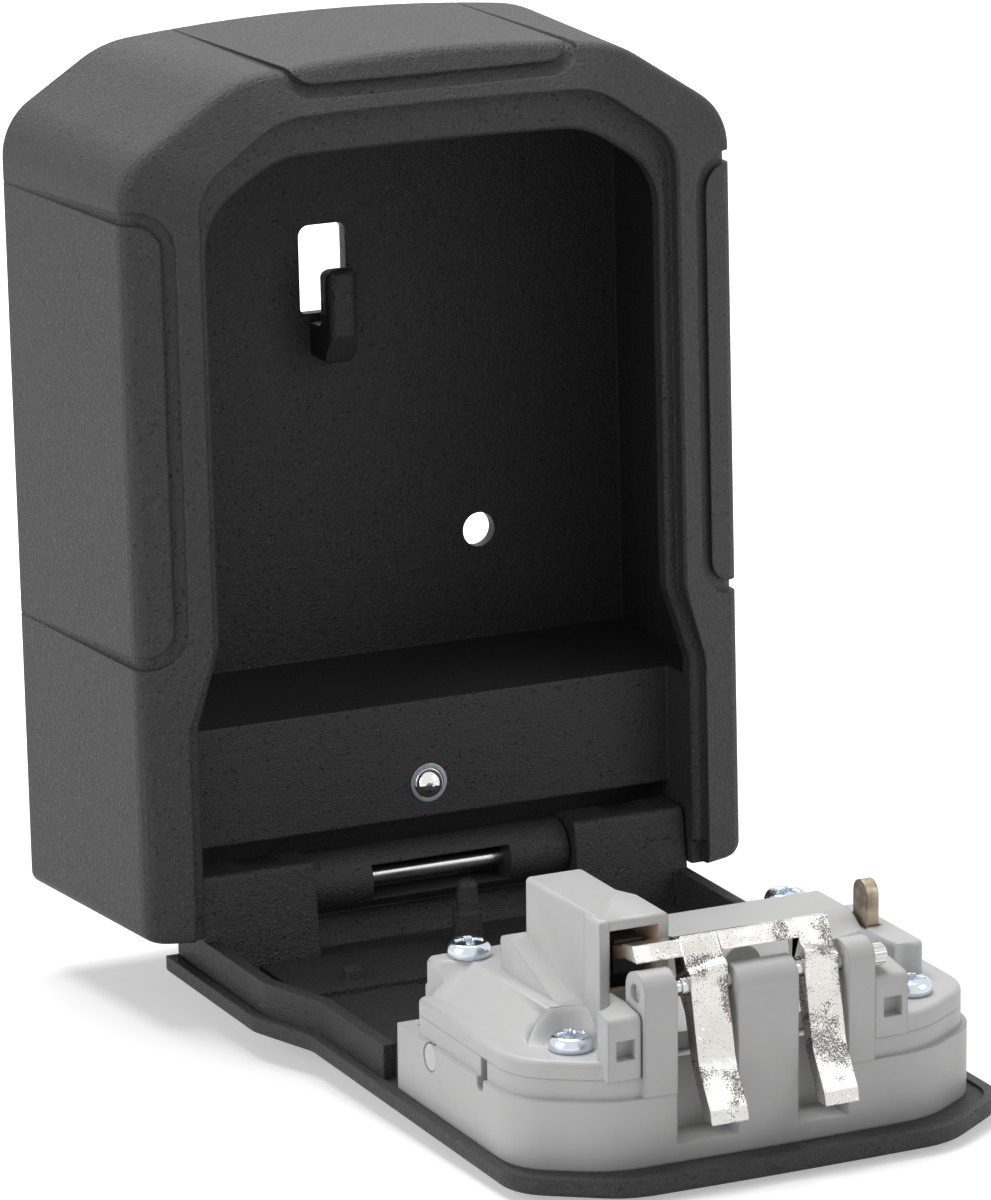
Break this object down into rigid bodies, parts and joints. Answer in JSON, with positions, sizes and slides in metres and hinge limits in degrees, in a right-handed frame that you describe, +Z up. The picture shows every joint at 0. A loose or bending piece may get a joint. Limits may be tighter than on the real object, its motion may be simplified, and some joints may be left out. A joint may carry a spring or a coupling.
{
  "type": "combination key safe",
  "caption": "Wall key safe with an arched cast case, a bottom-hinged door that carries a number lock, a spring plunger and a sprung latch, shown with the door open.",
  "frame": {"origin": "on the wall side of the case, midway between the wall screw holes", "axes": "+X to the right as the front is seen, -Y out of the wall towards the viewer, +Z up"},
  "size_m": [0.095, 0.1383, 0.1315],
  "materials": {
    "case_coat": "fine textured powder coat, charcoal",
    "sleeve_1_brass": "turned brass",
    "sleeve_2_brass": "turned brass",
    "sleeve_3_brass": "turned brass",
    "sleeve_4_brass": "turned brass",
    "screw_zinc": "bright zinc",
    "axle_steel": "ground steel",
    "wheel_1_plastic": "moulded, black with light digits",
    "wheel_2_plastic": "moulded, black with light digits",
    "wheel_3_plastic": "moulded, black with light digits",
    "wheel_4_plastic": "moulded, black with light digits",
    "door_coat": "fine textured powder coat, charcoal",
    "steel_pin": "ground steel",
    "comb_steel": "spring steel strip",
    "plunger_chrome": "bright plated",
    "spring_steel": "drawn wire",
    "latch_nickel": "cast and nickel plated",
    "rod_steel": "ground steel",
    "cover_plastic": "moulded, light warm grey",
    "housing_plastic": "moulded, light warm grey",
    "slide_plastic": "moulded, black",
    "slide_spring_steel": "drawn wire",
    "sleeve_chrome": "bright plated",
    "lever_brass": "blanked and tumbled",
    "side_pin_steel": "splined steel"
  },
  "bodies": {
    "case": {"case_shell": "case_coat", "hinge_pin": "steel_pin", "plunger_sleeve": "sleeve_chrome"},
    "plunger": {"kick_plunger": "plunger_chrome", "kick_spring": "spring_steel"},
    "door": {"door_plate": "door_coat", "lock_housing": "housing_plastic", "lock_cover": "cover_plastic", "cover_screws": "screw_zinc", "side_pin": "side_pin_steel", "latch_rod": "rod_steel", "dial_axle": "axle_steel", "index_spring": "comb_steel"},
    "latch_body": {"latch": "latch_nickel"},
    "slide_body": {"open_slide": "slide_plastic", "open_spring": "slide_spring_steel"},
    "lever_body": {"reset_lever": "lever_brass"},
    "wheel_1": {"dial_wheel_1": "wheel_1_plastic", "code_sleeve_1": "sleeve_1_brass"},
    "wheel_2": {"dial_wheel_2": "wheel_2_plastic", "code_sleeve_2": "sleeve_2_brass"},
    "wheel_3": {"dial_wheel_3": "wheel_3_plastic", "code_sleeve_3": "sleeve_3_brass"},
    "wheel_4": {"dial_wheel_4": "wheel_4_plastic", "code_sleeve_4": "sleeve_4_brass"}
  },
  "joints": [
    {"name": "door_hinge", "type": "hinge", "parent": "case", "child": "door", "pos_m": [0, -0.0309, -0.0399], "axis": [-1, 0, 0], "range_deg": [0, 92]},
    {"name": "plunger_slide", "type": "slide", "parent": "case", "child": "plunger", "axis": [0, 1, 0], "range_m": [0, 0.0036]},
    {"name": "latch_pivot", "type": "hinge", "parent": "door", "child": "latch_body", "pos_m": [0, -0.13102, -0.02969], "axis": [1, 0, 0], "range_deg": [0, 15], "stiffness_Nm_per_rad": 0.02, "springref_deg": -8.59},
    {"name": "open_slide_travel", "type": "slide", "parent": "door", "child": "slide_body", "axis": [0, -0.9994, -0.0349], "range_m": [0, 0.0012]},
    {"name": "reset_lever_shift", "type": "slide", "parent": "door", "child": "lever_body", "axis": [0, 0.9994, 0.0349], "range_m": [0, 0.0025]},
    {"name": "wheel_1_turn", "type": "hinge", "parent": "door", "child": "wheel_1", "pos_m": [0.0026, -0.10546, -0.0451], "axis": [1, 0, 0], "continuous": true},
    {"name": "wheel_2_turn", "type": "hinge", "parent": "door", "child": "wheel_2", "pos_m": [0.0086, -0.10546, -0.0451], "axis": [1, 0, 0], "continuous": true},
    {"name": "wheel_3_turn", "type": "hinge", "parent": "door", "child": "wheel_3", "pos_m": [0.0146, -0.10546, -0.0451], "axis": [1, 0, 0], "continuous": true},
    {"name": "wheel_4_turn", "type": "hinge", "parent": "door", "child": "wheel_4", "pos_m": [0.0206, -0.10546, -0.0451], "axis": [1, 0, 0], "continuous": true}
  ],
  "couplings": [
    {"joint": "plunger_slide", "follows": "door_hinge", "m_per_rad": 0.0022398},
    {"joint": "open_slide_travel", "follows": "latch_pivot", "m_per_rad": 0.0045791}
  ]
}
